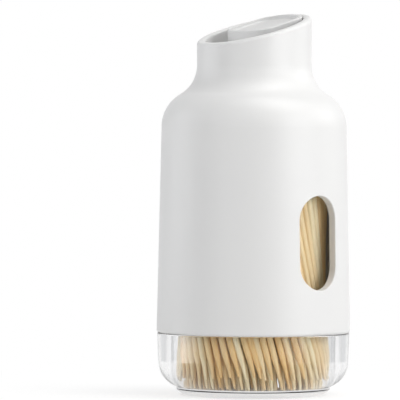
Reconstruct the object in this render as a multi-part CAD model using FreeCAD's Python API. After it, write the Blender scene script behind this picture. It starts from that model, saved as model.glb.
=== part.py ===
import FreeCAD, Part
import math
import os

# Toothpick dispenser: a white shell on a clear bowl. A press on the button in the slanted mouth
# turns a rocker, which lifts one toothpick out of the chute.
# Lengths are millimetres. +Z is up and the origin is the centre of the face that the bowl stands on.
# The mouth is low at -X and high at +X. The window faces -Y, turned a little towards +X.

# Toothpicks. They set the height of the dispenser.
pick_radius = 0.9
pick_length = 65.0
pick_point_length = 6.0
pick_tip_radius = 0.28
pick_lean_degrees = 15.0
pick_ring_spacing = 2.2
pick_gap = 0.12
pick_wall_gap = 0.87
pick_foot_clearance = 0.1
pick_head_room = 1.2
ring_words = ["outer", "middle", "inner"]
ring_turn_shares = [0.0, 0.37, 0.71]

# Motion: the rocker lifts the toothpick by the stroke times lift_arm / press_arm.
stroke = 6.0
press_arm = 7.0
lift_arm = 10.5
outlet_shift = 0.17
outlet_wall_gap = 5.4
ready_tip_depth = 0.5

# Shell
mouth_tilt_degrees = 15.7
neck_length = 10.5
hollow_radius = 9.4
shoulder_radius = 10.7
shoulder_step = 11.25
shell_foot_height = 17.8
body_taper_degrees = 1.2
shell_wall = 2.4
lip_rounding = 1.0
lip_inner_rounding = 0.6
shell_foot_rounding = 0.7
rebate_head_room = 0.6

# Window
window_width = 13.9
window_height = 26.6
window_sill = 2.5
window_turn_degrees = 7.8
window_edge_rounding = 0.25

# Clear base
base_set_back = 0.15
base_taper_degrees = 2.0
base_corner_radius = 7.8
base_corner_cut = 0.4
base_wall = 2.4
foot_set_back = 5.5
foot_top_height = 2.35
foot_round_height = 1.65
foot_round_width = 4.9
foot_contact_width = 2.2
foot_recess_depth = 0.5
bowl_corner_ease = 0.4
bowl_floor_height = 1.6
spigot_wall = 1.2
spigot_height = 9.6
base_shoulder_rounding = 0.3
spigot_top_rounding = 0.4
rebate_clearance = 0.15

# Seal ring
seal_height = 4.6
seal_width = 1.4
seal_groove_depth = 0.5
seal_clearance = 0.1

# Inner cup
cup_gap = 1.6
cup_wall = 1.2
cup_corner_radius = 5.5
cup_rim_gap = 8.0
cup_rim_rounding = 0.4

# Clearances
slide_clearance = 0.25
pin_clearance = 0.05
press_clearance = 0.02
soft_clearance = 0.03
slot_clearance = 0.15
end_clearance = 0.25
side_gap = 0.3
stop_gap = 0.1
overrun = 2.0

# Button
button_outlet_gap = 3.3
button_half_width = 9.6
button_low_bulge = 2.2
button_bore_gap = 0.35
button_rise = 0.6
button_side_depth = 4.2
button_corner_radius = 4.0
button_rim_width = 1.1
button_dish_depth = 1.05
button_roof = 1.5
button_wall = 1.3
button_edge_rounding = 0.4
button_cover = 7.0
rail_thickness = 1.1
rail_low_inset = 2.4
rail_end_gap = 0.4
boss_seat_width = 0.35

# Stem, spring and their bridge
stem_radius = 1.5
stem_slot_wall = 0.9
stem_block_height = 5.0
stem_tip_gap = 0.3
bridge_thickness = 1.6
bridge_rail_gap = 0.5
bridge_tab_half_width = 3.2
bridge_tab_depth = 0.7
sleeve_height = 4.0
sleeve_wall = 0.6
spring_wire = 0.5
spring_gap = 0.2
spring_length = 11.0
spring_turn_count = 6

# Rocker
link_half_gap = 3.2
rocker_plate = 1.2
rocker_half_height = 1.7
barrel_radius = 2.3
rocker_pin_radius = 1.0
rocker_pin_length = 16.0
link_pin_radius = 0.8
trunnion_length = 1.25

# Lifter
lifter_slot_wall = 1.05
lifter_height = 7.0
lifter_floor_gap = 0.4
pick_bore_gap = 0.4
grip_seat_width = 0.6
grip_thickness = 1.2
grip_cap_thickness = 0.8
key_half_width = 1.0

# Neck insert
insert_wall = 1.2
insert_fit = 0.1
deck_thickness = 1.6
deck_gap = 0.4
chute_drop = 3.6
chute_gap = 0.5
chute_flare_width = 1.2
chute_flare_depth = 1.2
opening_gap = 0.4
collar_wall = 1.2
collar_step = 0.4
bearing_length = 4.4
bearing_drop = 4.0
bearing_rise = 3.6
bearing_gap = 0.35
guide_rib_thickness = 1.25
guide_rib_end = 1.0
flange_edge_gap = 2.6
flange_thickness = 1.6
bridge_block_length = 4.2
bridge_block_height = 4.0
bridge_screw_inset = 2.1

# Funnel plate and screws
plate_thickness = 1.6
plate_edge_gap = 0.6
plate_hole_gap = 0.6
plate_flare_width = 3.5
plate_flare_depth = 1.3
post_length = 2.4
screw_flange_inset = 3.0
screw_count = 3
screw_first_degrees = 60.0
screw_radius = 0.95
screw_head_radius = 1.9
screw_head_height = 1.0
screw_length = 9.0
screw_slot_width = 0.5
screw_slot_depth = 0.5
boss_radius = 2.4
plate_screw_radius = 0.8
plate_screw_head_radius = 1.5
plate_screw_head_height = 0.9
plate_screw_length = 4.6

# Outlet bush and holding ring
bush_wall = 1.3
bush_bottom_gap = 0.5
holding_thickness = 1.2
outlet_lip = 1.0

# Directions and slopes
origin = FreeCAD.Vector(0, 0, 0)
up = FreeCAD.Vector(0, 0, 1)
along_y = FreeCAD.Vector(0, 1, 0)
upright_share = 0.998
mouth_rise = math.tan(math.radians(mouth_tilt_degrees))
window_turn = math.radians(window_turn_degrees)
body_taper = math.radians(body_taper_degrees)
base_taper = math.radians(base_taper_degrees)
pick_lean = math.radians(pick_lean_degrees)

# Places of the outlet, pivot and stem along X, and the radii that they set
swing = math.asin(stroke / 2 / press_arm)
mean_reach_share = (1 + math.cos(swing)) / 2
outlet_offset = (lift_arm + press_arm) * mean_reach_share / 2 + outlet_shift
pivot_x = lift_arm * mean_reach_share - outlet_offset
stem_x = pivot_x + press_arm * mean_reach_share
bore_radius = outlet_offset + outlet_wall_gap
neck_radius = bore_radius + shell_wall
neck_reach = neck_radius + overrun
insert_radius = bore_radius - insert_fit
insert_inner_radius = insert_radius - insert_wall
shell_foot_radius = neck_radius + shoulder_step
base_top_radius = shell_foot_radius - base_set_back
bowl_radius = base_top_radius - base_wall
bowl_corner_radius = base_corner_radius + bowl_corner_ease
spigot_radius = bowl_radius + spigot_wall
rebate_radius = spigot_radius + rebate_clearance
foot_radius = base_top_radius - foot_set_back
foot_contact_radius = foot_radius - foot_round_width
cup_radius = bowl_radius - cup_gap - cup_wall
pick_bore_radius = pick_radius + pick_bore_gap
grip_radius = pick_bore_radius + grip_seat_width
bush_radius = pick_bore_radius + bush_wall
chute_flare_radius = pick_bore_radius + chute_flare_width
plate_hole_radius = pick_radius + plate_hole_gap
plate_flare_radius = plate_hole_radius + plate_flare_width
sleeve_radius = stem_radius + pin_clearance + sleeve_wall
spring_radius = sleeve_radius + spring_gap + spring_wire / 2
button_boss_radius = spring_radius + spring_wire / 2 + boss_seat_width

# Heights, from the floor up
base_corner_height = foot_top_height + base_corner_radius - base_corner_cut
rebate_height = spigot_height + rebate_head_room
window_centre_height = shell_foot_height + rebate_height + window_sill + window_height / 2
cup_floor_height = bowl_floor_height + cup_wall
plate_bottom_height = cup_floor_height + pick_length + pick_head_room
plate_top = plate_bottom_height + plate_thickness
flange_top = plate_top + flange_thickness
cup_rim_height = plate_bottom_height - cup_rim_gap
lift = 2 * lift_arm * math.sin(swing)
lift_slot_height = plate_top + lifter_floor_gap + lifter_height / 2
lifter_top = lift_slot_height + lifter_height / 2
pivot_height = lift_slot_height + lift / 2
stem_slot_height = pivot_height + stroke / 2
bearing_bottom_height = pivot_height - bearing_drop
bearing_top_height = pivot_height + bearing_rise
guide_rib_top_height = lifter_top + lift + guide_rib_end
rail_bottom_height = bearing_top_height + stroke + rail_end_gap
bridge_bottom = stem_slot_height + stem_block_height / 2 + stop_gap
bridge_top = bridge_bottom + bridge_thickness
collar_bottom_height = bridge_bottom + collar_step
spring_top = bridge_top + spring_length
mouth_height = spring_top + button_cover
hollow_start_height = mouth_height - neck_length
button_drop = button_side_depth - button_rise
deck_drop = button_drop + stroke + deck_gap
chute_height = mouth_height - mouth_rise * outlet_offset - chute_drop
bush_top_height = chute_height - chute_flare_depth - outlet_lip - holding_thickness

# Widths across the mechanism
link_outer_half_width = link_half_gap + rocker_plate
link_block_half_width = link_half_gap - side_gap
slot_half_height = link_pin_radius + slot_clearance
press_slot_half_length = link_pin_radius + press_arm * (1 - mean_reach_share) + end_clearance
lift_slot_half_length = link_pin_radius + lift_arm * (1 - mean_reach_share) + end_clearance
stem_block_half_length = press_slot_half_length + stem_slot_wall
lifter_half_length = lift_slot_half_length + lifter_slot_wall
key_end = insert_inner_radius - side_gap
rail_inner_half_width = link_outer_half_width + side_gap
rail_outer_half_width = rail_inner_half_width + rail_thickness
rail_high_end = math.sqrt((insert_inner_radius - side_gap) ** 2 - rail_outer_half_width ** 2)
bridge_half_width = rail_inner_half_width - bridge_rail_gap
button_low_end = outlet_offset - button_outlet_gap
button_low_arc_radius = (button_half_width ** 2 + button_low_bulge ** 2) / (2 * button_low_bulge)
rail_low_end = button_low_end - rail_low_inset
opening_low_end = rail_low_end + opening_gap
opening_half_width = rail_outer_half_width + slide_clearance
opening_high_end = stem_x + button_boss_radius + slide_clearance


def mouth(x):
    return mouth_height + mouth_rise * x


def at(x, z):
    return FreeCAD.Vector(x, 0, z)


def pillar(radius, bottom, top, x=0, y=0):
    return Part.makeCylinder(radius, top - bottom, FreeCAD.Vector(x, y, bottom), up)


def cone(low_radius, high_radius, bottom, top, x=0, y=0):
    return Part.makeCone(low_radius, high_radius, top - bottom, FreeCAD.Vector(x, y, bottom), up)


def block(x_low, x_high, y_low, y_high, bottom, top):
    corner = FreeCAD.Vector(x_low, y_low, bottom)
    return Part.makeBox(x_high - x_low, y_high - y_low, top - bottom, corner)


def cross_rod(radius, half_length, x, z):
    start = FreeCAD.Vector(x, -half_length, z)
    return Part.makeCylinder(radius, 2 * half_length, start, along_y)


def both_sides(make, inner, outer):
    return make(inner, outer).fuse(make(-outer, -inner))


def arc_edge(centre, radius, start_angle, end_angle):
    angles = [start_angle, (start_angle + end_angle) / 2, end_angle]
    ends = [centre + at(radius * math.cos(a), radius * math.sin(a)) for a in angles]
    return Part.Arc(*ends).toShape()


def first_point(edge):
    return edge.valueAt(edge.FirstParameter)


def last_point(edge):
    return edge.valueAt(edge.LastParameter)


def turned(edges):
    """Closes a run of edges, joining gaps with straight lines, and turns it about the Z axis."""
    joined = []
    for edge, following in zip(edges, edges[1:] + edges[:1]):
        joined.append(edge)
        if (last_point(edge) - first_point(following)).Length > Part.Precision.confusion():
            joined.append(Part.makeLine(last_point(edge), first_point(following)))
    return Part.Face(Part.Wire(joined)).revolve(origin, up, 360)


def line_edge(start, end):
    return Part.makeLine(start, end)


def below_mouth(drop, bottom, reach):
    """Everything between a level and the plane that lies drop under the slanted mouth."""
    floor = [at(-reach, bottom), at(reach, bottom)]
    slope = [at(reach, mouth(reach) - drop), at(-reach, mouth(-reach) - drop)]
    outline = Part.makePolygon(floor + slope + floor[:1])
    outline.translate(FreeCAD.Vector(0, -reach, 0))
    return Part.Face(outline).extrude(FreeCAD.Vector(0, 2 * reach, 0))


def prism(outline, bottom, top):
    face = Part.Face(outline)
    face.translate(FreeCAD.Vector(0, 0, bottom))
    return face.extrude(FreeCAD.Vector(0, 0, top - bottom))


def fuse_all(solids):
    return solids[0].multiFuse(solids[1:]).removeSplitter()


def cut_all(body, tools):
    return body.cut(Part.makeCompound(tools))


def edges_where(shape, test):
    return [edge for edge in shape.Edges if all(test(point) for point in edge.discretize(7))]


def save(node, shape):
    shape.exportStep("parts/" + node + ".step")
    print(node, len(shape.Solids), round(shape.Volume, 1), shape.isValid())


# Shell

def shell_line_radius(height, inset):
    taper = (height - shell_foot_height) * math.tan(body_taper)
    return shell_foot_radius - taper - inset / math.cos(body_taper)


def shoulder_centres():
    """Centres of the hollow arc and of the rounded shoulder, which touch each other and the body's line."""
    hollow = at(neck_radius + hollow_radius, hollow_start_height)
    slope = math.tan(body_taper)
    on_axis = shell_line_radius(0, shoulder_radius)
    span = hollow_radius + shoulder_radius
    a = 1 + slope ** 2
    b = hollow.z + slope * (on_axis - hollow.x)
    c = (on_axis - hollow.x) ** 2 + hollow.z ** 2 - span ** 2
    height = (b - math.sqrt(b ** 2 - a * c)) / a
    return hollow, at(on_axis - slope * height, height)


def shell_body(inset, top):
    """The turned shape of the shell, its skin moved inwards by inset."""
    hollow, shoulder = shoulder_centres()
    join = math.atan2(hollow.z - shoulder.z, hollow.x - shoulder.x)
    foot = at(shell_line_radius(shell_foot_height, inset), shell_foot_height)
    shoulder_arc = arc_edge(shoulder, shoulder_radius - inset, body_taper, join)
    hollow_arc = arc_edge(hollow, hollow_radius + inset, join + math.pi, math.pi)
    neck_edge = line_edge(at(neck_radius - inset, top), at(0, top))
    return turned([line_edge(at(0, shell_foot_height), foot), shoulder_arc, hollow_arc, neck_edge])


def flange_radius():
    return shell_line_radius(plate_bottom_height, shell_wall) - flange_edge_gap


def screw_places():
    circle = flange_radius() - screw_flange_inset
    turns = [math.radians(screw_first_degrees + 360 * i / screw_count) for i in range(screw_count)]
    return [(circle * math.cos(t), circle * math.sin(t)) for t in turns]


def window_cutter():
    half = window_width / 2
    straight = (window_height - window_width) / 2
    low = window_centre_height - straight
    high = window_centre_height + straight
    reach = shell_foot_radius + overrun
    ends = [Part.makeCylinder(half, reach, FreeCAD.Vector(0, -reach, z), along_y) for z in (low, high)]
    cutter = fuse_all(ends + [block(-half, half, -reach, 0, low, high)])
    cutter.rotate(origin, up, window_turn_degrees)
    return cutter


def beside_window(point):
    """How far a point lies beside the window's middle line."""
    return abs(point.x * math.cos(window_turn) + point.y * math.sin(window_turn))


def make_outer_shell():
    top = mouth(neck_reach)
    outside = shell_body(0, top)
    body = outside.cut(shell_body(shell_wall, top + overrun))
    foot = edges_where(body, lambda p: p.z < shell_foot_height + stop_gap and
                       math.hypot(p.x, p.y) > shell_foot_radius - stop_gap)
    body = body.makeFillet(shell_foot_rounding, foot)
    rebate_top = shell_foot_height + rebate_height
    body = body.cut(pillar(rebate_radius, shell_foot_height - overrun, rebate_top))
    shoulder_top = hollow_start_height
    bosses = [pillar(boss_radius, flange_top, shoulder_top, x, y) for x, y in screw_places()]
    bosses = [boss.common(outside) for boss in bosses]
    body = fuse_all([body] + bosses)
    hole_top = plate_bottom_height + screw_length + overrun / 2
    pilots = [pillar(screw_radius + press_clearance, flange_top - overrun, hole_top, x, y)
              for x, y in screw_places()]
    body = cut_all(body, pilots)
    body = body.common(below_mouth(0, 0, shell_foot_radius + overrun))
    lip = edges_where(body, lambda p: abs(p.z - mouth(p.x)) < press_clearance)
    lip.sort(key=lambda edge: edge.Length)
    body = body.makeFillet(lip_rounding, lip[-1:])
    lip = edges_where(body, lambda p: abs(p.z - mouth(p.x)) < press_clearance)
    lip.sort(key=lambda edge: edge.Length)
    body = body.makeFillet(lip_inner_rounding, lip[:1])
    body = body.cut(window_cutter())
    outer_edge = edges_where(body, lambda p: p.y < 0 and beside_window(p) < window_width / 2 + stop_gap and
                             abs(p.z - window_centre_height) < window_height / 2 + stop_gap and
                             math.hypot(p.x, p.y) > shell_line_radius(p.z, shell_wall / 2))
    return body.makeFillet(window_edge_rounding, outer_edge)


# Clear base

def base_line_radius(height):
    return base_top_radius - (shell_foot_height - height) * math.tan(base_taper)


def make_clear_base():
    centre_radius = base_line_radius(base_corner_height) - base_corner_radius / math.cos(base_taper)
    centre = at(centre_radius, base_corner_height)
    corner_end = -math.asin((base_corner_height - foot_top_height) / base_corner_radius)
    spigot_top = shell_foot_height + spigot_height
    recess_radius = foot_contact_radius - foot_contact_width
    foot_arc_centre = at(foot_contact_radius, foot_round_height)
    foot_span = foot_radius - foot_contact_radius
    foot_mid = foot_arc_centre + at(foot_span / math.sqrt(2), -foot_round_height / math.sqrt(2))
    foot_edge = at(foot_radius, foot_round_height)
    foot_arc = Part.Arc(at(foot_contact_radius, 0), foot_mid, foot_edge).toShape()
    outside = turned([
        line_edge(at(0, foot_recess_depth), at(recess_radius - foot_recess_depth, foot_recess_depth)),
        line_edge(at(recess_radius, 0), at(foot_contact_radius, 0)),
        foot_arc,
        line_edge(foot_edge, at(foot_radius, foot_top_height)),
        arc_edge(centre, base_corner_radius, corner_end, -base_taper),
        line_edge(at(base_top_radius, shell_foot_height), at(spigot_radius, shell_foot_height)),
        line_edge(at(spigot_radius, spigot_top), at(0, spigot_top)),
    ])
    shoulder = edges_where(outside, lambda p: abs(p.z - shell_foot_height) < press_clearance and
                           math.hypot(p.x, p.y) > base_top_radius - press_clearance)
    outside = outside.makeFillet(base_shoulder_rounding, shoulder)
    bowl_centre = at(bowl_radius - bowl_corner_radius, bowl_floor_height + bowl_corner_radius)
    inside = turned([
        line_edge(at(0, bowl_floor_height), at(bowl_centre.x, bowl_floor_height)),
        arc_edge(bowl_centre, bowl_corner_radius, -math.pi / 2, 0),
        line_edge(at(bowl_radius, spigot_top + overrun), at(0, spigot_top + overrun)),
    ])
    groove_bottom = shell_foot_height + seal_height
    groove = pillar(spigot_radius + overrun, groove_bottom, groove_bottom + seal_width)
    groove = groove.cut(pillar(spigot_radius - seal_groove_depth, groove_bottom - overrun,
                               groove_bottom + seal_width + overrun))
    body = outside.cut(inside).cut(groove)
    rim = edges_where(body, lambda p: abs(p.z - spigot_top) < press_clearance)
    return body.makeFillet(spigot_top_rounding, rim)


def make_seal_ring():
    bottom = shell_foot_height + seal_height + press_clearance
    top = bottom + seal_width - 2 * press_clearance
    inner_radius = spigot_radius - seal_groove_depth + press_clearance
    ring = pillar(rebate_radius - seal_clearance, bottom, top)
    return ring.cut(pillar(inner_radius, bottom - overrun, top + overrun))


def cup_shape(radius, corner, floor_height, top):
    centre = at(radius - corner, floor_height + corner)
    return turned([
        line_edge(at(0, floor_height), at(centre.x, floor_height)),
        arc_edge(centre, corner, -math.pi / 2, 0),
        line_edge(at(radius, top), at(0, top)),
    ])


def make_inner_cup():
    outside = cup_shape(cup_radius + cup_wall, cup_corner_radius + cup_wall, bowl_floor_height,
                        cup_rim_height)
    inside = cup_shape(cup_radius, cup_corner_radius, cup_floor_height, cup_rim_height + overrun)
    body = outside.cut(inside)
    rim = edges_where(body, lambda p: abs(p.z - cup_rim_height) < press_clearance)
    return body.makeFillet(cup_rim_rounding, rim)


# Toothpicks

def toothpick():
    """One toothpick, pointed at both ends, standing on the origin."""
    shank_top = pick_length - pick_point_length
    low = cone(pick_tip_radius, pick_radius, 0, pick_point_length)
    high = cone(pick_radius, pick_tip_radius, shank_top, pick_length)
    return fuse_all([low, pillar(pick_radius, pick_point_length, shank_top), high])


def cup_floor_at(radius):
    """Height of the cup's inside at a distance from the axis, up its rounded corner."""
    centre_radius = cup_radius - cup_corner_radius
    centre_height = cup_floor_height + cup_corner_radius
    if radius <= centre_radius:
        return cup_floor_height
    return centre_height - math.sqrt(cup_corner_radius ** 2 - (radius - centre_radius) ** 2)


def make_pick_ring(step, turn_share):
    """A ring of toothpicks that all lean the same way, nearest the axis at half their length."""
    reach = pick_length / 2 * math.sin(pick_lean)
    radius = math.sqrt((cup_radius - pick_wall_gap) ** 2 - reach ** 2) - step * pick_ring_spacing
    count = math.floor(2 * math.pi * radius / (2 * pick_radius / math.cos(pick_lean) + pick_gap))
    foot_radius_here = math.hypot(radius, reach) + pick_tip_radius
    foot_height = cup_floor_at(foot_radius_here) + pick_foot_clearance
    stick = toothpick()
    picks = []
    for i in range(count):
        pick = stick.copy()
        pick.translate(FreeCAD.Vector(0, 0, -pick_length / 2))
        pick.rotate(origin, FreeCAD.Vector(1, 0, 0), pick_lean_degrees)
        pick.translate(FreeCAD.Vector(radius, 0, foot_height + pick_length / 2 * math.cos(pick_lean)))
        pick.rotate(origin, up, 360 * (i + turn_share) / count)
        picks.append(pick)
    return Part.makeCompound(picks)


def make_ready_toothpick():
    pick = toothpick()
    pick.translate(FreeCAD.Vector(-outlet_offset, 0, chute_height - ready_tip_depth - pick_length))
    return pick


# Neck insert and what is fixed in it

def make_neck_insert():
    top = mouth(neck_reach)
    tube = pillar(insert_radius, plate_top, top).cut(pillar(insert_inner_radius, 0, top + overrun))
    tube = tube.common(below_mouth(deck_drop, 0, neck_reach))
    deck = pillar(insert_radius, plate_top, top).common(below_mouth(deck_drop, 0, neck_reach))
    deck = deck.cut(below_mouth(deck_drop + deck_thickness, 0, neck_reach))
    chute_face = -button_low_end - chute_gap
    chute_bottom = mouth(chute_face) - deck_drop - deck_thickness
    chute = pillar(insert_radius, chute_bottom, top).common(below_mouth(chute_drop, 0, neck_reach))
    chute = chute.common(block(-neck_reach, chute_face, -neck_reach, neck_reach, 0, top))
    flange = pillar(flange_radius(), plate_top, flange_top).cut(pillar(insert_inner_radius, 0, top))
    inside = pillar(insert_inner_radius + insert_wall / 2, plate_top, top)
    below_deck = inside.common(below_mouth(deck_drop, 0, neck_reach))
    collar_outer = opening_half_width + collar_wall
    collar_low = -opening_low_end - collar_wall
    collar = block(collar_low, insert_radius, -collar_outer, collar_outer, collar_bottom_height, top)
    collar = collar.cut(block(-opening_low_end, insert_radius + overrun, -opening_half_width,
                              opening_half_width, 0, top + overrun))
    low_wall = block(collar_low - overrun, -opening_low_end + stop_gap, -neck_reach, neck_reach,
                     0, bridge_top)
    collar = collar.cut(low_wall).common(below_deck)
    bridge_block = block(collar_low, collar_low + bridge_block_length, -bridge_tab_half_width,
                         bridge_tab_half_width, bridge_top, bridge_top + bridge_block_height)
    bearing_low = pivot_x - bearing_length / 2
    bearing = both_sides(lambda a, b: block(bearing_low, bearing_low + bearing_length, a, b,
                                            bearing_bottom_height, bearing_top_height),
                         link_outer_half_width + bearing_gap, insert_radius)
    bearing = bearing.common(inside)
    rib_face = -outlet_offset - lifter_half_length - slide_clearance
    rib_inner = key_half_width + slot_clearance
    ribs = both_sides(lambda a, b: block(-insert_radius, rib_face, a, b, plate_top, guide_rib_top_height),
                      rib_inner, rib_inner + guide_rib_thickness)
    ribs = ribs.common(inside)
    body = fuse_all([tube, deck, chute, flange, collar, bridge_block, bearing, ribs])
    opening = block(-opening_low_end, opening_high_end, -opening_half_width, opening_half_width,
                    bridge_top + bridge_block_height, top)
    slot_radius = rocker_pin_radius + pin_clearance
    slot_reach = rocker_pin_length / 2 + end_clearance
    pin_slot = cross_rod(slot_radius, slot_reach, pivot_x, pivot_height)
    pin_entry = block(pivot_x - slot_radius, pivot_x + slot_radius, -slot_reach, slot_reach,
                      bearing_bottom_height - overrun, pivot_height)
    tab_gap = bridge_tab_half_width + slot_clearance
    tab_slot = block(insert_inner_radius - overrun, insert_radius + overrun, -tab_gap, tab_gap,
                     bridge_bottom - slot_clearance, bridge_top + slot_clearance)
    bore_top = bush_top_height + holding_thickness + press_clearance
    bush_bore = pillar(bush_radius + press_clearance, 0, bore_top, -outlet_offset)
    outlet = pillar(pick_bore_radius, 0, top, -outlet_offset)
    flare = cone(pick_bore_radius, chute_flare_radius, chute_height - chute_flare_depth, chute_height,
                 -outlet_offset)
    flare = flare.fuse(pillar(chute_flare_radius, chute_height, top, -outlet_offset))
    holes = [pillar(screw_radius + stop_gap, 0, flange_top + overrun, x, y) for x, y in screw_places()]
    screw_end = bridge_bottom + plate_screw_length - plate_screw_head_height
    plate_hole = pillar(plate_screw_radius + press_clearance, bridge_bottom - overrun,
                        screw_end + end_clearance, collar_low + bridge_screw_inset)
    cuts = [opening, pin_slot, pin_entry, tab_slot, bush_bore, outlet, flare, plate_hole] + holes
    return cut_all(body, cuts)


def make_spring_plate():
    plate_low = -opening_low_end - collar_wall + slot_clearance
    tab_end = insert_radius - bridge_tab_depth
    plate = block(plate_low, insert_inner_radius - end_clearance, -bridge_half_width, bridge_half_width,
                  bridge_bottom, bridge_top)
    plate = plate.common(pillar(insert_inner_radius - side_gap, bridge_bottom, bridge_top))
    tab = block(stem_x, tab_end, -bridge_tab_half_width, bridge_tab_half_width, bridge_bottom, bridge_top)
    sleeve = pillar(sleeve_radius, bridge_bottom, bridge_top + sleeve_height, stem_x)
    stem_hole = pillar(stem_radius + pin_clearance, 0, mouth_height, stem_x)
    screw_hole = pillar(plate_screw_radius + stop_gap, 0, mouth_height,
                        -opening_low_end - collar_wall + bridge_screw_inset)
    return cut_all(fuse_all([plate, tab, sleeve]), [stem_hole, screw_hole])


def screw(radius, length, head_radius, head_height, countersunk):
    """A screw that points up from its head's face at the origin, with a straight slot in the head."""
    if countersunk:
        head = cone(head_radius, radius, 0, head_height)
    else:
        head = pillar(head_radius, 0, head_height)
    body = fuse_all([head, pillar(radius, head_height, length)])
    slot = block(-head_radius, head_radius, -screw_slot_width / 2, screw_slot_width / 2,
                 -overrun, screw_slot_depth)
    return body.cut(slot)


def make_plate_screw():
    body = screw(plate_screw_radius, plate_screw_length, plate_screw_head_radius,
                 plate_screw_head_height, False)
    body.translate(FreeCAD.Vector(-opening_low_end - collar_wall + bridge_screw_inset, 0,
                                  bridge_bottom - plate_screw_head_height))
    return body


def make_shell_screws():
    body = screw(screw_radius, screw_length, screw_head_radius, screw_head_height, True)
    screws = []
    for x, y in screw_places():
        copy = body.copy()
        copy.translate(FreeCAD.Vector(x, y, plate_bottom_height))
        screws.append(copy)
    return Part.makeCompound(screws)


def make_funnel_plate():
    radius = shell_line_radius(plate_bottom_height, shell_wall) - plate_edge_gap
    disc = pillar(radius, plate_bottom_height, plate_top)
    post_top = pivot_height - rocker_pin_radius - pin_clearance
    posts = both_sides(lambda a, b: block(pivot_x - rocker_pin_radius + press_clearance,
                                          pivot_x + rocker_pin_radius - press_clearance, a, b,
                                          plate_bottom_height, post_top),
                       rocker_pin_length / 2 - post_length, rocker_pin_length / 2)
    hole = pillar(plate_hole_radius, 0, mouth_height, -outlet_offset)
    flare = cone(plate_flare_radius, plate_hole_radius, plate_bottom_height,
                 plate_bottom_height + plate_flare_depth, -outlet_offset)
    cuts = [hole, flare]
    for x, y in screw_places():
        cuts.append(pillar(screw_radius + stop_gap, 0, mouth_height, x, y))
        cuts.append(cone(screw_head_radius + stop_gap, screw_radius + stop_gap, plate_bottom_height,
                         plate_bottom_height + screw_head_height, x, y))
    return cut_all(fuse_all([disc, posts]), cuts)


def make_outlet_bush():
    bottom = lifter_top + lift + bush_bottom_gap
    bush = pillar(bush_radius, bottom, bush_top_height, -outlet_offset)
    return bush.cut(pillar(pick_bore_radius, 0, mouth_height, -outlet_offset))


def make_holding_ring():
    ring = pillar(bush_radius, bush_top_height, bush_top_height + holding_thickness, -outlet_offset)
    return ring.cut(pillar(pick_radius + soft_clearance, 0, mouth_height, -outlet_offset))


# Button and stem

def button_outline(inset):
    """Plan of the button: a low end that bulges a little, straight sides and a high end along the bore."""
    half = button_half_width - inset
    low_radius = button_low_arc_radius - inset
    low_centre = button_low_arc_radius - button_low_end
    low_x = low_centre - math.sqrt(low_radius ** 2 - half ** 2)
    high_radius = bore_radius - button_bore_gap - inset
    high_x = math.sqrt(high_radius ** 2 - half ** 2)
    low_near = FreeCAD.Vector(low_x, -half, 0)
    low_far = FreeCAD.Vector(low_x, half, 0)
    low_mid = FreeCAD.Vector(low_centre - low_radius, 0, 0)
    high_near = FreeCAD.Vector(high_x, -half, 0)
    high_far = FreeCAD.Vector(high_x, half, 0)
    high_mid = FreeCAD.Vector(high_radius, 0, 0)
    edges = [Part.makeLine(low_near, high_near), Part.Arc(high_near, high_mid, high_far).toShape(),
             Part.makeLine(high_far, low_far), Part.Arc(low_far, low_mid, low_near).toShape()]
    return Part.Wire(edges)


def upright_edges(shape):
    found = []
    for edge in shape.Edges:
        lean = edge.tangentAt(edge.FirstParameter)
        if edge.Curve.TypeId == "Part::GeomLine" and abs(lean.z) > upright_share:
            found.append(edge)
    return found


def tongue(inset, low_drop, high_drop):
    """The button's plan, inset, between two planes that lie so far under the mouth's plane."""
    top = mouth(neck_reach) + overrun
    body = prism(button_outline(inset), bridge_top, top)
    body = body.makeFillet(button_corner_radius - inset / 2, upright_edges(body))
    body = body.common(below_mouth(high_drop, 0, neck_reach))
    return body.cut(below_mouth(low_drop, 0, neck_reach))


def make_push_button():
    body = tongue(0, button_drop, -button_rise)
    dish_drop = button_dish_depth - button_rise
    dish = tongue(button_rim_width, dish_drop, -button_rise - overrun)
    floor_edges = edges_where(dish, lambda p: abs(p.z - mouth(p.x) + dish_drop) < press_clearance)
    dish = dish.makeFillet(button_dish_depth * 2 / 3, floor_edges)
    pocket = tongue(button_wall, button_drop + overrun, dish_drop + button_roof)
    top_edges = edges_where(body, lambda p: abs(p.z - mouth(p.x) - button_rise) < press_clearance)
    body = body.makeFillet(button_edge_rounding, top_edges)
    body = body.cut(dish).cut(pocket)
    roof_drop = dish_drop + button_roof / 2
    rails = both_sides(lambda a, b: block(-rail_low_end, rail_high_end, a, b, rail_bottom_height,
                                          mouth(neck_reach)),
                       rail_inner_half_width, rail_outer_half_width)
    boss = pillar(button_boss_radius, spring_top, mouth(neck_reach), stem_x)
    inner_parts = rails.fuse(boss).common(below_mouth(roof_drop, 0, neck_reach))
    body = fuse_all([body, inner_parts])
    stem_hole = pillar(stem_radius + press_clearance, 0, stem_top() + stem_tip_gap, stem_x)
    return body.cut(stem_hole)


def stem_top():
    dish_floor = mouth(stem_x - stem_radius) + button_rise - button_dish_depth
    return dish_floor - button_roof - stem_tip_gap


def make_button_stem():
    rod = pillar(stem_radius, stem_slot_height, stem_top(), stem_x)
    half_length, half_height = stem_block_half_length, stem_block_height / 2
    foot = block(stem_x - half_length, stem_x + half_length, -link_block_half_width, link_block_half_width,
                 stem_slot_height - half_height, stem_slot_height + half_height)
    slot = block(stem_x - press_slot_half_length, stem_x + press_slot_half_length,
                 -neck_radius, neck_radius,
                 stem_slot_height - slot_half_height, stem_slot_height + slot_half_height)
    return fuse_all([rod, foot]).cut(slot)


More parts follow.
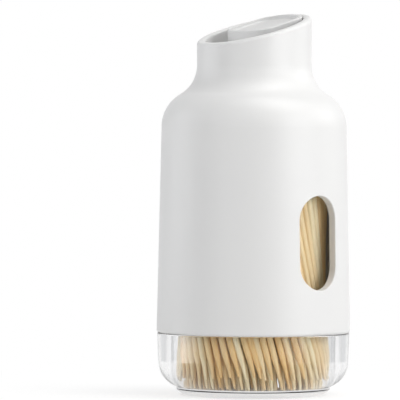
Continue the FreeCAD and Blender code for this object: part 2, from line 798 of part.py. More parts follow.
def make_return_spring():
    """One unbroken coil, with its ends cut square, between the bridge and the button's boss."""
    half_wire = spring_wire / 2
    low = bridge_top + half_wire + pin_clearance
    high = spring_top - half_wire - pin_clearance
    pitch = (high - low) / spring_turn_count
    helix = Part.makeHelix(pitch, high - low, spring_radius)
    section = Part.Wire(Part.makeCircle(half_wire, FreeCAD.Vector(spring_radius, 0, 0), along_y))
    coil = Part.Wire(helix.Edges).makePipeShell([section], True, True)
    coil.translate(FreeCAD.Vector(stem_x, 0, low))
    print("return_spring least gap between turns", round(pitch - spring_wire, 3))
    return coil


# Rocker

def rocker_arm(a, b):
    """A straight flat arm from the lift end to the press end, standing level, between two places in Y."""
    rounds = [Part.makeCylinder(rocker_half_height, b - a, FreeCAD.Vector(x, a, 0), along_y)
              for x in (-lift_arm, press_arm)]
    bar = block(-lift_arm, press_arm, a, b, -rocker_half_height, rocker_half_height)
    return fuse_all(rounds + [bar])


def place_on_pivot(shape):
    """Turns a level arm to its place at rest, press end up, and moves it to the pivot."""
    shape.rotate(origin, along_y, -math.degrees(swing))
    shape.translate(at(pivot_x, pivot_height))
    return shape


def make_rocker_lever():
    arms = both_sides(rocker_arm, link_half_gap, link_outer_half_width)
    barrel = cross_rod(barrel_radius, link_outer_half_width, 0, 0)
    trunnions = both_sides(lambda a, b: Part.makeCylinder(link_pin_radius, b - a,
                                                          FreeCAD.Vector(-lift_arm, a, 0), along_y),
                           link_half_gap - trunnion_length, link_outer_half_width)
    pin_hole = cross_rod(rocker_pin_radius + pin_clearance, neck_radius, 0, 0)
    link_hole = cross_rod(link_pin_radius + press_clearance, neck_radius, press_arm, 0)
    body = cut_all(fuse_all([arms, barrel, trunnions]), [pin_hole, link_hole])
    return place_on_pivot(body)


def make_link_pin():
    return place_on_pivot(cross_rod(link_pin_radius, link_outer_half_width, press_arm, 0))


def make_rocker_pin():
    return cross_rod(rocker_pin_radius, rocker_pin_length / 2, pivot_x, pivot_height)


# Lifter

def make_lifter_block():
    x = -outlet_offset
    bottom, top = lifter_top - lifter_height, lifter_top
    body = block(x - lifter_half_length, x + lifter_half_length, -link_block_half_width,
                 link_block_half_width, bottom, top)
    key = block(-key_end, x, -key_half_width, key_half_width, bottom, top)
    slot_floor = link_half_gap - trunnion_length - stop_gap
    slots = both_sides(lambda a, b: block(x - lift_slot_half_length, x + lift_slot_half_length, a, b,
                                          lift_slot_height - slot_half_height,
                                          lift_slot_height + slot_half_height),
                       slot_floor, neck_radius)
    bore = pillar(pick_bore_radius, 0, mouth_height, x)
    seat = pillar(grip_radius + press_clearance, top - grip_thickness - grip_cap_thickness, mouth_height, x)
    return cut_all(fuse_all([body, key]), [slots, bore, seat])


def make_grip_ring():
    top = lifter_top - grip_cap_thickness
    ring = pillar(grip_radius, top - grip_thickness, top, -outlet_offset)
    return ring.cut(pillar(pick_radius + soft_clearance, 0, mouth_height, -outlet_offset))


def make_grip_cap():
    cap = pillar(grip_radius, lifter_top - grip_cap_thickness, lifter_top, -outlet_offset)
    return cap.cut(pillar(pick_bore_radius, 0, mouth_height, -outlet_offset))


os.makedirs("parts", exist_ok=True)
save("outer_shell", make_outer_shell())
save("clear_base", make_clear_base())
save("seal_ring", make_seal_ring())
save("inner_cup", make_inner_cup())
for step, word in enumerate(ring_words):
    save("toothpicks_" + word, make_pick_ring(step, ring_turn_shares[step]))
save("toothpick_ready", make_ready_toothpick())
save("neck_insert", make_neck_insert())
save("spring_plate", make_spring_plate())
save("plate_screw", make_plate_screw())
save("shell_screws", make_shell_screws())
save("funnel_plate", make_funnel_plate())
save("outlet_bush", make_outlet_bush())
save("holding_ring", make_holding_ring())
save("push_button", make_push_button())
save("button_stem", make_button_stem())
save("return_spring", make_return_spring())
save("rocker_lever", make_rocker_lever())
save("link_pin", make_link_pin())
save("rocker_pin", make_rocker_pin())
save("lifter_block", make_lifter_block())
save("grip_ring", make_grip_ring())
save("grip_cap", make_grip_cap())
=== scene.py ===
import math

import bmesh
import bpy
from mathutils import Matrix, Vector


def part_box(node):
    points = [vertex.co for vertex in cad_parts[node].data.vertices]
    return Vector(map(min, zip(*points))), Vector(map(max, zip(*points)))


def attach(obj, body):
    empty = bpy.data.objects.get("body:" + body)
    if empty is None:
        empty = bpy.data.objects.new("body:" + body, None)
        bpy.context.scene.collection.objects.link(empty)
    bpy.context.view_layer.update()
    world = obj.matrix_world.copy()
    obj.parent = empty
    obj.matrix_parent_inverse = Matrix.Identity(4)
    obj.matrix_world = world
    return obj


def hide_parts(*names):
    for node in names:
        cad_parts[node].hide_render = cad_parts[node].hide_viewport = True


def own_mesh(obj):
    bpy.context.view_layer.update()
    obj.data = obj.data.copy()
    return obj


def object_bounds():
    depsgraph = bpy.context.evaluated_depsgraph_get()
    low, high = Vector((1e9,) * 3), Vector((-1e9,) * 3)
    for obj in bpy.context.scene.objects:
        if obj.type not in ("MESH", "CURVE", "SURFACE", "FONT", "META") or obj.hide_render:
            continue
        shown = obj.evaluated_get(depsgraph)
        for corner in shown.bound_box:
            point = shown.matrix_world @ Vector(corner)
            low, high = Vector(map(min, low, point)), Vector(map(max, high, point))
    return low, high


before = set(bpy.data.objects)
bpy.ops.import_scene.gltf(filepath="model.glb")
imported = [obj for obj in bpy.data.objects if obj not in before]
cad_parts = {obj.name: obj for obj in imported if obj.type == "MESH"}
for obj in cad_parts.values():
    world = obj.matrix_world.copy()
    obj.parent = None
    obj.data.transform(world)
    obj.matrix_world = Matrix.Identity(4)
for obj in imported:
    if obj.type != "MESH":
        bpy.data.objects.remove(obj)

cad_low, cad_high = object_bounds()

# A press-button toothpick dispenser: white shell, slanted mouth, clear bowl full of toothpicks.
# Lengths are metres. Screen directions are the camera's: across to the right, near to the camera.
mm = 0.001

# Camera
camera_azimuth_degrees = 35.5
camera_distance = 1410 * mm
camera_height = 88 * mm
camera_aim_height = 55.4 * mm
camera_sideways = -15.3 * mm
camera_roll_degrees = 0.2
camera_lens_mm = 446.0
camera_sensor_mm = 36.0

# Lamps and room
lamp_distance = 1.25
room_strength = 0.18
mirrored_strength = 0.78

# Toothpicks, the standard size
pick_length = 65 * mm
pick_radius = 0.9 * mm
pick_tip_radius = 0.28 * mm
pick_point_length = 6 * mm
pick_sides = 10

# The bunch: neighbours within a patch lean alike, each a jitter off, and some stand a little higher
pick_lean_degrees = 15.0
pick_uneven_degrees = 2.2
pick_uneven_patch = 11 * mm
pick_jitter_degrees = 0.4
pick_lift = 0.5 * mm
ring_pitch = 1.98 * mm
ring_names = ["outer", "middle", "inner"]
ring_turn_shares = [0.0, 0.37, 0.71]
# The core fills the middle. Each of its rings has a radius and a share of the outer rings' lean, and
# stands at the foot height above the cup's underside.
core_rings = [(13.0 * mm, 1.0), (10.8 * mm, 1.0), (5.4 * mm, 0.1), (3.0 * mm, 0.1), (0.95 * mm, 0.1)]
core_foot_height = 1.3 * mm
core_first_seed = 10

# Return spring
spring_wire = 0.5 * mm
spring_radius = 2.6 * mm
spring_turns = 6
spring_wire_sides = 12
spring_turn_points = 40

up = Vector((0, 0, 1))
azimuth = math.radians(camera_azimuth_degrees)
near = Vector((-math.sin(azimuth), -math.cos(azimuth), 0))
across = Vector((math.cos(azimuth), -math.sin(azimuth), 0))
body_centre = Vector((0, 0, (cad_low.z + cad_high.z) / 2))


def add(tree, kind, values=None, links=None, **settings):
    """Adds a node with its settings, its inputs' values and the outputs that its inputs are linked to."""
    made = tree.nodes.new(kind)
    for name, value in settings.items():
        setattr(made, name, value)
    for name, value in (values or {}).items():
        made.inputs[name].default_value = value
    for name, source in (links or {}).items():
        tree.links.new(source, made.inputs[name])
    return made


def srgb(code):
    """An sRGB hex colour as the linear colour that a shader takes."""
    shares = [int(code[i:i + 2], 16) / 255 for i in (0, 2, 4)]
    linear = [s / 12.92 if s <= 0.04045 else ((s + 0.055) / 1.055) ** 2.4 for s in shares]
    return (*linear, 1.0)


def new_material(name):
    material = bpy.data.materials.new(name)
    material.use_nodes = True
    material.node_tree.nodes.clear()
    return material, material.node_tree


def moulded_abs(name, pale, deep, roughness):
    """Injection-moulded ABS, spark-eroded satin: an even white with a soft, broad gleam."""
    material, tree = new_material(name)
    place = add(tree, "ShaderNodeTexCoord").outputs["Object"]
    drift = add(tree, "ShaderNodeTexNoise", {"Scale": 1 / (30 * mm), "Detail": 2.0}, {"Vector": place})
    tone = add(tree, "ShaderNodeMix", {6: srgb(pale), 7: srgb(deep)},
               {"Factor": drift.outputs["Fac"]}, data_type="RGBA")
    # The eroded grain is about 0.05 mm; it is drawn at 0.3 mm, so that it shows.
    grain = add(tree, "ShaderNodeTexNoise", {"Scale": 1 / (0.3 * mm), "Detail": 2.0}, {"Vector": place})
    gloss = add(tree, "ShaderNodeMapRange",
                {"From Min": 0.3, "From Max": 0.7,
                 "To Min": roughness - 0.03, "To Max": roughness + 0.03},
                {"Value": grain.outputs["Fac"]})
    relief = add(tree, "ShaderNodeBump", {"Strength": 0.12, "Distance": 0.02 * mm},
                 {"Height": grain.outputs["Fac"]})
    shader = add(tree, "ShaderNodeBsdfPrincipled", {"IOR": 1.53},
                 {"Base Color": tone.outputs[2], "Roughness": gloss.outputs["Result"],
                  "Normal": relief.outputs["Normal"]})
    add(tree, "ShaderNodeOutputMaterial", {}, {"Surface": shader.outputs["BSDF"]})
    return material


def clear_styrene(name, density):
    """Polished clear polystyrene: glass-like, with faint flow marks and a few handling smudges."""
    # Square on it mirrors less than the real one, so that the toothpicks behind it keep their colour.
    square_gloss = 0.08
    material, tree = new_material(name)
    place = add(tree, "ShaderNodeTexCoord").outputs["Object"]
    smudge = add(tree, "ShaderNodeTexNoise", {"Scale": 1 / (9 * mm), "Detail": 4.0}, {"Vector": place})
    gloss = add(tree, "ShaderNodeMapRange",
                {"From Min": 0.5, "From Max": 0.8, "To Min": 0.015, "To Max": 0.07},
                {"Value": smudge.outputs["Fac"]})
    flow = add(tree, "ShaderNodeTexNoise", {"Scale": 1 / (14 * mm), "Detail": 1.0, "Distortion": 0.6},
               {"Vector": place})
    relief = add(tree, "ShaderNodeBump", {"Strength": 0.25, "Distance": 0.05 * mm},
                 {"Height": flow.outputs["Fac"]})
    solid = add(tree, "ShaderNodeBsdfPrincipled",
                {"Base Color": srgb("FFFFFF"), "IOR": 1.57, "Transmission Weight": 1.0,
                 "Specular Tint": (square_gloss, square_gloss, square_gloss, 1.0)},
                {"Roughness": gloss.outputs["Result"], "Normal": relief.outputs["Normal"]})
    # Light from the lamps and from dull surfaces goes straight through.
    path = add(tree, "ShaderNodeLightPath")
    lamp_light = add(tree, "ShaderNodeMath", {},
                     {0: path.outputs["Is Shadow Ray"], 1: path.outputs["Is Diffuse Ray"]},
                     operation="MAXIMUM")
    open_way = add(tree, "ShaderNodeBsdfTransparent", {"Color": srgb("FFFFFF")})
    shader = add(tree, "ShaderNodeMixShader", {},
                 {0: lamp_light.outputs[0], 1: solid.outputs["BSDF"], 2: open_way.outputs["BSDF"]})
    # The plastic is given a grey absorption that the real clear plastic hardly has: painted shade for the
    # dim surroundings seen through its thick walls, so that a wall seen edge-on darkens, and one seen
    # square stays clear.
    # The density counts per metre and the walls are a few millimetres, so it is high.
    tint = add(tree, "ShaderNodeVolumeAbsorption", {"Color": srgb("E8E8E9"), "Density": density})
    add(tree, "ShaderNodeOutputMaterial", {}, {"Surface": shader.outputs[0], "Volume": tint.outputs[0]})
    return material


def bamboo(name):
    """Unvarnished split bamboo: pale and dull, with darker fibres along each toothpick."""
    dark_share = 0.3
    material, tree = new_material(name)
    place = add(tree, "ShaderNodeAttribute", attribute_name="pick_place")
    tone = add(tree, "ShaderNodeAttribute", attribute_name="pick_tone")
    # Tones far apart give each toothpick its own slice of the noise.
    apart = add(tree, "ShaderNodeMath", {1: 40.0}, {0: tone.outputs["Fac"]}, operation="MULTIPLY")
    # The fibres are about 0.45 mm apart, with finer ones between, and run about 14 mm.
    fibre_place = add(tree, "ShaderNodeMapping",
                      {"Scale": (1 / (0.45 * mm), 1 / (0.45 * mm), 1 / (14 * mm))},
                      {"Vector": place.outputs["Vector"]})
    fibres = add(tree, "ShaderNodeTexNoise", {"Scale": 1.0, "Detail": 4.0, "Roughness": 0.65},
                 {"Vector": fibre_place.outputs["Vector"], "W": apart.outputs[0]}, noise_dimensions="4D")
    streaks = add(tree, "ShaderNodeMapRange", {"From Min": 0.35, "From Max": 0.72},
                  {"Value": fibres.outputs["Fac"]})
    stick = add(tree, "ShaderNodeMix", {6: srgb("FFF4CE"), 7: srgb("F4CB88")},
                {"Factor": tone.outputs["Fac"]}, data_type="RGBA")
    dark = add(tree, "ShaderNodeMath", {1: dark_share}, {0: streaks.outputs["Result"]},
               operation="MULTIPLY")
    wood = add(tree, "ShaderNodeMix", {7: srgb("BE8A44")},
               {"Factor": dark.outputs[0], 6: stick.outputs[2]}, data_type="RGBA")
    gloss = add(tree, "ShaderNodeMapRange", {"To Min": 0.5, "To Max": 0.7},
                {"Value": fibres.outputs["Fac"]})
    relief = add(tree, "ShaderNodeBump", {"Strength": 0.4, "Distance": 0.04 * mm},
                 {"Height": fibres.outputs["Fac"]})
    shader = add(tree, "ShaderNodeBsdfPrincipled", {"IOR": 1.5, "Specular IOR Level": 0.35},
                 {"Base Color": wood.outputs[2], "Roughness": gloss.outputs["Result"],
                  "Normal": relief.outputs["Normal"]})
    add(tree, "ShaderNodeOutputMaterial", {}, {"Surface": shader.outputs["BSDF"]})
    return material


def silicone(name):
    """Moulded silicone rubber: milky, soft-looking, with a dull skin."""
    material, tree = new_material(name)
    place = add(tree, "ShaderNodeTexCoord").outputs["Object"]
    cloud = add(tree, "ShaderNodeTexNoise", {"Scale": 1 / (2 * mm), "Detail": 3.0}, {"Vector": place})
    tone = add(tree, "ShaderNodeMix", {6: srgb("DADCDD"), 7: srgb("C8CBCD")},
               {"Factor": cloud.outputs["Fac"]}, data_type="RGBA")
    gloss = add(tree, "ShaderNodeMapRange", {"To Min": 0.55, "To Max": 0.75},
                {"Value": cloud.outputs["Fac"]})
    shader = add(tree, "ShaderNodeBsdfPrincipled",
                 {"IOR": 1.41, "Subsurface Weight": 0.3, "Subsurface Scale": 0.6 * mm},
                 {"Base Color": tone.outputs[2], "Roughness": gloss.outputs["Result"]})
    add(tree, "ShaderNodeOutputMaterial", {}, {"Surface": shader.outputs["BSDF"]})
    return material


def acetal(name):
    """Moulded natural acetal: waxy off-white, a little yellower than the shell."""
    material, tree = new_material(name)
    place = add(tree, "ShaderNodeTexCoord").outputs["Object"]
    cloud = add(tree, "ShaderNodeTexNoise", {"Scale": 1 / (4 * mm), "Detail": 3.0}, {"Vector": place})
    tone = add(tree, "ShaderNodeMix", {6: srgb("EDEBE4"), 7: srgb("E0DDD3")},
               {"Factor": cloud.outputs["Fac"]}, data_type="RGBA")
    gloss = add(tree, "ShaderNodeMapRange", {"To Min": 0.3, "To Max": 0.42},
                {"Value": cloud.outputs["Fac"]})
    shader = add(tree, "ShaderNodeBsdfPrincipled",
                 {"IOR": 1.48, "Subsurface Weight": 0.15, "Subsurface Scale": 0.5 * mm},
                 {"Base Color": tone.outputs[2], "Roughness": gloss.outputs["Result"]})
    add(tree, "ShaderNodeOutputMaterial", {}, {"Surface": shader.outputs["BSDF"]})
    return material


def drawn_steel(name, code):
    """Drawn stainless steel wire and rod: grey metal with fine lines from the die."""
    material, tree = new_material(name)
    place = add(tree, "ShaderNodeTexCoord").outputs["Object"]
    lines_place = add(tree, "ShaderNodeMapping",
                      {"Scale": (1 / (0.15 * mm), 1 / (2 * mm), 1 / (0.15 * mm))}, {"Vector": place})
    lines = add(tree, "ShaderNodeTexNoise", {"Scale": 1.0, "Detail": 3.0},
                {"Vector": lines_place.outputs["Vector"]})
    tone = add(tree, "ShaderNodeMix", {6: srgb(code), 7: srgb("8F9193")},
               {"Factor": lines.outputs["Fac"]}, data_type="RGBA")
    gloss = add(tree, "ShaderNodeMapRange", {"To Min": 0.22, "To Max": 0.4},
                {"Value": lines.outputs["Fac"]})
    shader = add(tree, "ShaderNodeBsdfPrincipled", {"Metallic": 1.0},
                 {"Base Color": tone.outputs[2], "Roughness": gloss.outputs["Result"]})
    add(tree, "ShaderNodeOutputMaterial", {}, {"Surface": shader.outputs["BSDF"]})
    return material


def dress(material, *nodes):
    """Gives CAD nodes their finish."""
    for name in nodes:
        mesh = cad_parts[name].data
        mesh.materials.clear()
        mesh.materials.append(material)


def new_inputs(tree, sizes):
    """Gives a node tree its named inputs and its geometry output, and returns the inputs by name."""
    for name, kind in sizes:
        tree.interface.new_socket(name, in_out="INPUT", socket_type=kind)
    tree.interface.new_socket("Geometry", in_out="OUTPUT", socket_type="NodeSocketGeometry")
    return add(tree, "NodeGroupInput").outputs


def finish_tree(tree, geometry, material):
    """Ends a tree with plain smooth geometry that carries its material."""
    real = add(tree, "GeometryNodeRealizeInstances", {}, {"Geometry": geometry})
    smooth = add(tree, "GeometryNodeSetShadeSmooth", {}, {"Geometry": real.outputs["Geometry"]})
    dressed = add(tree, "GeometryNodeSetMaterial", {"Material": material},
                  {"Geometry": smooth.outputs["Geometry"]})
    add(tree, "NodeGroupOutput", {}, {"Geometry": dressed.outputs["Geometry"]})


def toothpick_ring_tree(material):
    """Toothpicks round a circle, all leaning the same way, nearest the axis at half their length."""
    tree = bpy.data.node_groups.new("toothpick_ring", "GeometryNodeTree")
    size = new_inputs(tree, [
        ("Count", "NodeSocketInt"), ("Ring Radius", "NodeSocketFloat"),
        ("Centre Height", "NodeSocketFloat"), ("Turn Share", "NodeSocketFloat"),
        ("Lean", "NodeSocketFloat"), ("Uneven Lean", "NodeSocketFloat"),
        ("Lean Jitter", "NodeSocketFloat"), ("Length", "NodeSocketFloat"),
        ("Point Length", "NodeSocketFloat"), ("Shank Radius", "NodeSocketFloat"),
        ("Tip Radius", "NodeSocketFloat"), ("Sides", "NodeSocketInt"), ("Seed", "NodeSocketInt"),
    ])
    half = add(tree, "ShaderNodeMath", {1: 0.5}, {0: size["Length"]}, operation="MULTIPLY")
    below = add(tree, "ShaderNodeMath", {1: -0.5}, {0: size["Length"]}, operation="MULTIPLY")
    low_end = add(tree, "ShaderNodeCombineXYZ", {}, {"Z": below.outputs[0]})
    high_end = add(tree, "ShaderNodeCombineXYZ", {}, {"Z": half.outputs[0]})
    line = add(tree, "GeometryNodeCurvePrimitiveLine", {},
               {"Start": low_end.outputs[0], "End": high_end.outputs[0]})
    four = add(tree, "GeometryNodeResampleCurve", {"Count": 4}, {"Curve": line.outputs["Curve"]})
    ends = add(tree, "GeometryNodeCurveEndpointSelection", {"Start Size": 1, "End Size": 1})
    shank = add(tree, "FunctionNodeBooleanMath", {}, {0: ends.outputs[0]}, operation="NOT")
    # The two inner points start at a sixth of the length and move out to where the points begin.
    point_share = add(tree, "ShaderNodeMath", {}, {0: size["Point Length"], 1: size["Length"]},
                      operation="DIVIDE")
    stretch = add(tree, "ShaderNodeMath", {1: -6.0, 2: 3.0}, {0: point_share.outputs[0]},
                  operation="MULTIPLY_ADD")
    place = add(tree, "GeometryNodeInputPosition")
    moved = add(tree, "ShaderNodeVectorMath", {}, {0: place.outputs[0], "Scale": stretch.outputs[0]},
                operation="SCALE")
    spine = add(tree, "GeometryNodeSetPosition", {},
                {"Geometry": four.outputs[0], "Selection": shank.outputs[0], "Position": moved.outputs[0]})
    radius = add(tree, "GeometryNodeSwitch", {},
                 {"Switch": ends.outputs[0], "False": size["Shank Radius"], "True": size["Tip Radius"]},
                 input_type="FLOAT")
    section = add(tree, "GeometryNodeCurvePrimitiveCircle", {"Radius": 1.0}, {"Resolution": size["Sides"]})
    stick = add(tree, "GeometryNodeCurveToMesh", {"Fill Caps": True},
                {"Curve": spine.outputs[0], "Profile Curve": section.outputs[0],
                 "Scale": radius.outputs[0]})
    own_place = add(tree, "GeometryNodeStoreNamedAttribute", {"Name": "pick_place"},
                    {"Geometry": stick.outputs[0], "Value": place.outputs[0]},
                    data_type="FLOAT_VECTOR", domain="POINT")

    spots = add(tree, "GeometryNodePoints", {}, {"Count": size["Count"]})
    index = add(tree, "GeometryNodeInputIndex")
    step = add(tree, "ShaderNodeMath", {}, {0: index.outputs[0], 1: size["Turn Share"]}, operation="ADD")
    turn_share = add(tree, "ShaderNodeMath", {}, {0: step.outputs[0], 1: size["Count"]}, operation="DIVIDE")
    turn = add(tree, "ShaderNodeMath", {1: 2 * math.pi}, {0: turn_share.outputs[0]}, operation="MULTIPLY")
    out = add(tree, "ShaderNodeCombineXYZ", {}, {"X": size["Ring Radius"]})
    spot = add(tree, "ShaderNodeVectorRotate", {}, {"Vector": out.outputs[0], "Angle": turn.outputs[0]},
               rotation_type="Z_AXIS")
    ring = add(tree, "GeometryNodeSetPosition", {},
               {"Geometry": spots.outputs[0], "Position": spot.outputs[0]})
    # Neighbours lean alike, so the unevenness follows a slow noise round the ring.
    slow = add(tree, "ShaderNodeTexNoise", {"Scale": 1 / pick_uneven_patch, "Detail": 1.0},
               {"Vector": place.outputs[0], "W": size["Seed"]}, noise_dimensions="4D")
    uneven = add(tree, "ShaderNodeMapRange",
                 {"From Min": 0.3, "From Max": 0.7, "To Min": -1.0, "To Max": 1.0},
                 {"Value": slow.outputs["Fac"]})
    even_lean = add(tree, "ShaderNodeMath", {},
                    {0: uneven.outputs["Result"], 1: size["Uneven Lean"], 2: size["Lean"]},
                    operation="MULTIPLY_ADD")
    jitter = add(tree, "FunctionNodeRandomValue", {2: -1.0, 3: 1.0}, {"Seed": size["Seed"]},
                 data_type="FLOAT")
    lean = add(tree, "ShaderNodeMath", {},
               {0: jitter.outputs[1], 1: size["Lean Jitter"], 2: even_lean.outputs[0]},
               operation="MULTIPLY_ADD")
    facing = add(tree, "ShaderNodeCombineXYZ", {}, {"X": lean.outputs[0], "Z": turn.outputs[0]})
    rotation = add(tree, "FunctionNodeEulerToRotation", {}, {"Euler": facing.outputs[0]})
    placed = add(tree, "GeometryNodeInstanceOnPoints", {},
                 {"Points": ring.outputs[0], "Instance": own_place.outputs[0],
                  "Rotation": rotation.outputs[0]})
    tone = add(tree, "FunctionNodeRandomValue", {}, {"Seed": size["Seed"]}, data_type="FLOAT")
    toned = add(tree, "GeometryNodeStoreNamedAttribute", {"Name": "pick_tone"},
                {"Geometry": placed.outputs[0], "Value": tone.outputs[1]},
                data_type="FLOAT", domain="INSTANCE")
    lift = add(tree, "FunctionNodeRandomValue", {2: 0.0, 3: pick_lift}, {"Seed": size["Seed"]},
               data_type="FLOAT")
    height = add(tree, "ShaderNodeMath", {}, {0: lift.outputs[1], 1: size["Centre Height"]},
                 operation="ADD")
    rise = add(tree, "ShaderNodeCombineXYZ", {}, {"Z": height.outputs[0]})
    stood = add(tree, "GeometryNodeTranslateInstances", {"Local Space": False},
                {"Instances": toned.outputs[0], "Translation": rise.outputs[0]})
    finish_tree(tree, stood.outputs[0], material)
    return tree


def coil_tree(material):
    """A wire coil standing on the origin, with flat ends."""
    tree = bpy.data.node_groups.new("wire_coil", "GeometryNodeTree")
    size = new_inputs(tree, [
        ("Turns", "NodeSocketFloat"), ("Coil Radius", "NodeSocketFloat"), ("Rise", "NodeSocketFloat"),
        ("Wire Radius", "NodeSocketFloat"), ("Points A Turn", "NodeSocketInt"), ("Sides", "NodeSocketInt"),
        ("Foot", "NodeSocketVector"),
    ])
    line = add(tree, "GeometryNodeCurveSpiral", {},
               {"Resolution": size["Points A Turn"], "Rotations": size["Turns"],
                "Start Radius": size["Coil Radius"], "End Radius": size["Coil Radius"],
                "Height": size["Rise"]})
    section = add(tree, "GeometryNodeCurvePrimitiveCircle", {},
                  {"Resolution": size["Sides"], "Radius": size["Wire Radius"]})
    wire = add(tree, "GeometryNodeCurveToMesh", {"Fill Caps": True},
               {"Curve": line.outputs[0], "Profile Curve": section.outputs[0]})
    stood = add(tree, "GeometryNodeTransform", {},
                {"Geometry": wire.outputs[0], "Translation": size["Foot"]})
    finish_tree(tree, stood.outputs[0], material)
    return tree


def grown(name, tree, sizes, body):
    """Runs a tree once with its sizes set and puts the plain mesh that it makes on its body."""
    piece = bpy.data.objects.new(name, bpy.data.meshes.new(name + "_start"))
    bpy.context.scene.collection.objects.link(piece)
    growth = piece.modifiers.new(name, "NODES")
    growth.node_group = tree
    for socket in tree.interface.items_tree:
        if socket.in_out == "INPUT" and socket.name in sizes:
            growth[socket.identifier] = sizes[socket.name]
    drawn = piece.evaluated_get(bpy.context.evaluated_depsgraph_get())
    mesh = bpy.data.meshes.new_from_object(drawn)
    mesh.name = name
    piece.modifiers.remove(growth)
    piece.data = mesh
    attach(piece, body)
    return piece


def grow_toothpicks(wood):
    """The three rings in place of the CAD ones, and the core that fills the middle."""
    tree = toothpick_ring_tree(wood)
    lean = math.radians(pick_lean_degrees)
    reach = pick_length / 2 * math.sin(lean)
    sizes = {"Length": pick_length, "Point Length": pick_point_length, "Shank Radius": pick_radius,
             "Tip Radius": pick_tip_radius, "Sides": pick_sides, "Lean": lean,
             "Uneven Lean": math.radians(pick_uneven_degrees),
             "Lean Jitter": math.radians(pick_jitter_degrees)}
    for seed, word in enumerate(ring_names):
        low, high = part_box("toothpicks_" + word)
        radius = math.sqrt((high.x - pick_tip_radius) ** 2 - reach ** 2)
        sizes.update({"Ring Radius": radius, "Count": math.floor(2 * math.pi * radius / ring_pitch),
                      "Turn Share": ring_turn_shares[seed], "Centre Height": (low.z + high.z) / 2,
                      "Seed": seed})
        ring = grown("picks_" + word, tree, sizes, "base")
        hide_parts("toothpicks_" + word)
    foot_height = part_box("inner_cup")[0].z + core_foot_height
    for step, (radius, lean_share) in enumerate(core_rings):
        sizes.update({"Ring Radius": radius, "Count": math.floor(2 * math.pi * radius / ring_pitch),
                      "Lean": lean * lean_share, "Uneven Lean": 0.0,
                      "Centre Height": foot_height + pick_length / 2, "Seed": core_first_seed + step})
        grown("picks_core_" + str(step + 1), tree, sizes, "base")


def grow_spring(steel):
    """The coil in place of the CAD one, squashed by the press against its fixed end."""
    low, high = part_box("return_spring")
    sizes = {"Turns": float(spring_turns), "Coil Radius": spring_radius,
             "Rise": high.z - low.z - spring_wire, "Wire Radius": spring_wire / 2,
             "Points A Turn": spring_turn_points, "Sides": spring_wire_sides,
             "Foot": ((low.x + high.x) / 2, (low.y + high.y) / 2, low.z + spring_wire / 2)}
    spring = grown("spring_coil", coil_tree(steel), sizes, "housing")
    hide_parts("return_spring")
    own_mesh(spring)


def studio_sweep():
    """The white sweep that the dispenser stands on: a floor that curves up into a wall behind."""
    front, back, rise, bend, width = -0.6, 1.4, 1.6, 0.4, 0.5
    steps = 12
    profile = [(front, 0.0)]
    for i in range(steps + 1):
        turn = math.pi / 2 * i / steps
        profile.append((back - bend + bend * math.sin(turn), bend - bend * math.cos(turn)))
    profile.append((back, rise))
    sheet = bmesh.new()
    rows = [[sheet.verts.new(-near * y + across * x + up * z) for x in (-width, width)]
            for y, z in profile]
    for low, high in zip(rows, rows[1:]):
        sheet.faces.new((low[0], low[1], high[1], high[0]))
    mesh = bpy.data.meshes.new("studio_sweep")
    sheet.to_mesh(mesh)
    sheet.free()
    sweep = bpy.data.objects.new("studio_sweep", mesh)
    bpy.context.scene.collection.objects.link(sweep)
    for face in mesh.polygons:
        face.use_smooth = True
    mesh.materials.append(sweep_paper())


def sweep_paper():
    """White paper that looks pure white, also in gloss and through glass, and keeps a soft shadow."""
    shadow_share, shadow_near, shadow_far = 0.25, 30 * mm, 120 * mm
    under_share, under_inner, under_outer = 0.42, 20.5 * mm, 22.5 * mm
    lit_level = 0.8
    material, tree = new_material("studio_paper")
    path = add(tree, "ShaderNodeLightPath")
    seen = add(tree, "ShaderNodeMath", {},
               {0: path.outputs["Is Camera Ray"], 1: path.outputs["Is Glossy Ray"]}, operation="MAXIMUM")
    seen = add(tree, "ShaderNodeMath", {},
               {0: seen.outputs[0], 1: path.outputs["Is Transmission Ray"]}, operation="MAXIMUM")
    place = add(tree, "ShaderNodeTexCoord").outputs["Object"]
    distance = add(tree, "ShaderNodeVectorMath", {}, {0: place}, operation="LENGTH")
    around = add(tree, "ShaderNodeMapRange",
                 {"From Min": shadow_far, "From Max": shadow_near, "To Min": 0.0, "To Max": shadow_share},
                 {"Value": distance.outputs["Value"]}, interpolation_type="SMOOTHSTEP")
    # Under the dispenser, where the clear bowl shows the paper, more of its shadow is kept.
    under = add(tree, "ShaderNodeMapRange",
                {"From Min": under_outer, "From Max": under_inner, "To Min": 0.0, "To Max": under_share},
                {"Value": distance.outputs["Value"]})
    nearby = add(tree, "ShaderNodeMath", {}, {0: around.outputs[0], 1: under.outputs[0]},
                 operation="MAXIMUM")
    glow = add(tree, "ShaderNodeMath", {1: -lit_level, 2: 1.0}, {0: nearby.outputs[0]},
               operation="MULTIPLY_ADD")
    bright = add(tree, "ShaderNodeEmission", {"Color": (1, 1, 1, 1)}, {"Strength": glow.outputs[0]})
    paper = add(tree, "ShaderNodeBsdfDiffuse", {"Color": srgb("E6E6E6")})
    catching = add(tree, "ShaderNodeBsdfDiffuse", {}, {"Color": nearby.outputs[0]})
    shown = add(tree, "ShaderNodeAddShader", {}, {0: bright.outputs[0], 1: catching.outputs[0]})
    shader = add(tree, "ShaderNodeMixShader", {},
                 {0: seen.outputs[0], 1: paper.outputs[0], 2: shown.outputs[0]})
    add(tree, "ShaderNodeOutputMaterial", {}, {"Surface": shader.outputs[0]})
    return material


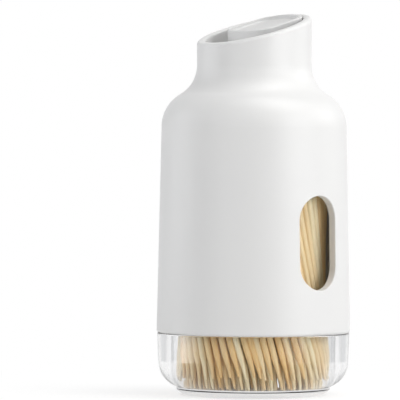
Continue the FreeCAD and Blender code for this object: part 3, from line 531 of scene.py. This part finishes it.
def studio_world():
    """An even, dim room. Gloss and glass show it pale, and the camera sees it white."""
    world = bpy.data.worlds.new("studio_room")
    bpy.context.scene.world = world
    world.use_nodes = True
    tree = world.node_tree
    tree.nodes.clear()
    path = add(tree, "ShaderNodeLightPath")
    mirrored = add(tree, "ShaderNodeMath", {},
                   {0: path.outputs["Is Glossy Ray"], 1: path.outputs["Is Transmission Ray"]},
                   operation="MAXIMUM")
    room = add(tree, "ShaderNodeBackground", {"Color": srgb("F2F3F5"), "Strength": room_strength})
    pale = add(tree, "ShaderNodeBackground", {"Color": srgb("FAFBFC"), "Strength": mirrored_strength})
    white = add(tree, "ShaderNodeBackground", {"Color": (1, 1, 1, 1), "Strength": 1.0})
    around = add(tree, "ShaderNodeMixShader", {},
                 {0: mirrored.outputs[0], 1: room.outputs[0], 2: pale.outputs[0]})
    shader = add(tree, "ShaderNodeMixShader", {},
                 {0: path.outputs["Is Camera Ray"], 1: around.outputs[0], 2: white.outputs[0]})
    add(tree, "ShaderNodeOutputWorld", {}, {"Surface": shader.outputs[0]})


def softbox(name, turn_degrees, rise_degrees, size, watts, code):
    """A square soft lamp aimed at the middle of the dispenser, turned from the camera to the right."""
    lamp = bpy.data.lights.new(name, "AREA")
    lamp.shape = "SQUARE"
    lamp.size = size
    lamp.energy = watts
    lamp.color = srgb(code)[:3]
    holder = bpy.data.objects.new(name, lamp)
    turn, rise = math.radians(turn_degrees), math.radians(rise_degrees)
    level = across * math.sin(turn) + near * math.cos(turn)
    way = level * math.cos(rise) + up * math.sin(rise)
    holder.location = body_centre + way * lamp_distance
    holder.rotation_euler = (-way).to_track_quat("-Z", "Y").to_euler()
    bpy.context.scene.collection.objects.link(holder)


def set_camera():
    """Looks almost level from the left of the window, with the dispenser right of the middle."""
    data = bpy.data.cameras.new("photo_camera")
    data.lens = camera_lens_mm
    data.sensor_width = camera_sensor_mm
    camera = bpy.data.objects.new("photo_camera", data)
    place = near * camera_distance + across * camera_sideways + up * camera_height
    drop = camera_height - camera_aim_height
    aim = -near * camera_distance - up * drop
    turn = aim.to_track_quat("-Z", "Y").to_matrix().to_4x4()
    roll = Matrix.Rotation(math.radians(camera_roll_degrees), 4, "Z")
    camera.matrix_world = Matrix.Translation(place) @ turn @ roll
    bpy.context.scene.collection.objects.link(camera)
    bpy.context.scene.camera = camera


set_camera()
shell_white = moulded_abs("satin_moulded_abs", "E2E2E1", "DFDFDF", roughness=0.42)
# The button is the shell's white ABS painted a shade greyer: painted shade for its dished top, which sits
# down in the mouth.
button_shaded_white = moulded_abs("button_shaded_satin_abs", "DADAD9", "D7D7D7", roughness=0.42)
insert_white = moulded_abs("insert_matt_abs", "EFEFEE", "EAEAEA", roughness=0.45)
# The density sets how much painted shade the grey absorption puts in each clear part, more in the bowl than
# in the cup.
bowl_styrene = clear_styrene("bowl_clear_styrene", density=70.0)
cup_styrene = clear_styrene("cup_clear_styrene", density=25.0)
straw = bamboo("split_bamboo")
soft_rubber = silicone("moulded_silicone")
lever_plastic = acetal("natural_acetal")
steel = drawn_steel("drawn_stainless_steel", "B9BBBD")

dress(shell_white, "outer_shell")
dress(button_shaded_white, "push_button")
dress(insert_white, "neck_insert", "funnel_plate", "spring_plate", "outlet_bush")
dress(bowl_styrene, "clear_base")
dress(cup_styrene, "inner_cup")
dress(soft_rubber, "seal_ring", "holding_ring", "grip_ring")
dress(lever_plastic, "button_stem", "rocker_lever", "lifter_block", "grip_cap")
dress(steel, "rocker_pin", "link_pin", "plate_screw", "shell_screws")
grow_toothpicks(straw)
grow_spring(steel)

studio_world()
studio_sweep()
# Each lamp's turn and rise in degrees, size in metres, watts and colour.
softbox("key_softbox", 66, 58, 0.7, 5.2, "FFFDFA")
softbox("low_softbox", 53, 8, 0.85, 8.4, "FFFFFF")
softbox("fill_softbox", -98, 12, 0.9, 5.5, "FCFDFF")
softbox("left_softbox", -36, 7, 0.8, 4.0, "FFFFFF")
softbox("top_softbox", 60, 80, 0.6, 4.3, "FFFFFF")
softbox("edge_softbox", 106, 20, 0.6, 3.0, "FFFFFF")

bpy.context.scene.view_settings.view_transform = "Standard"
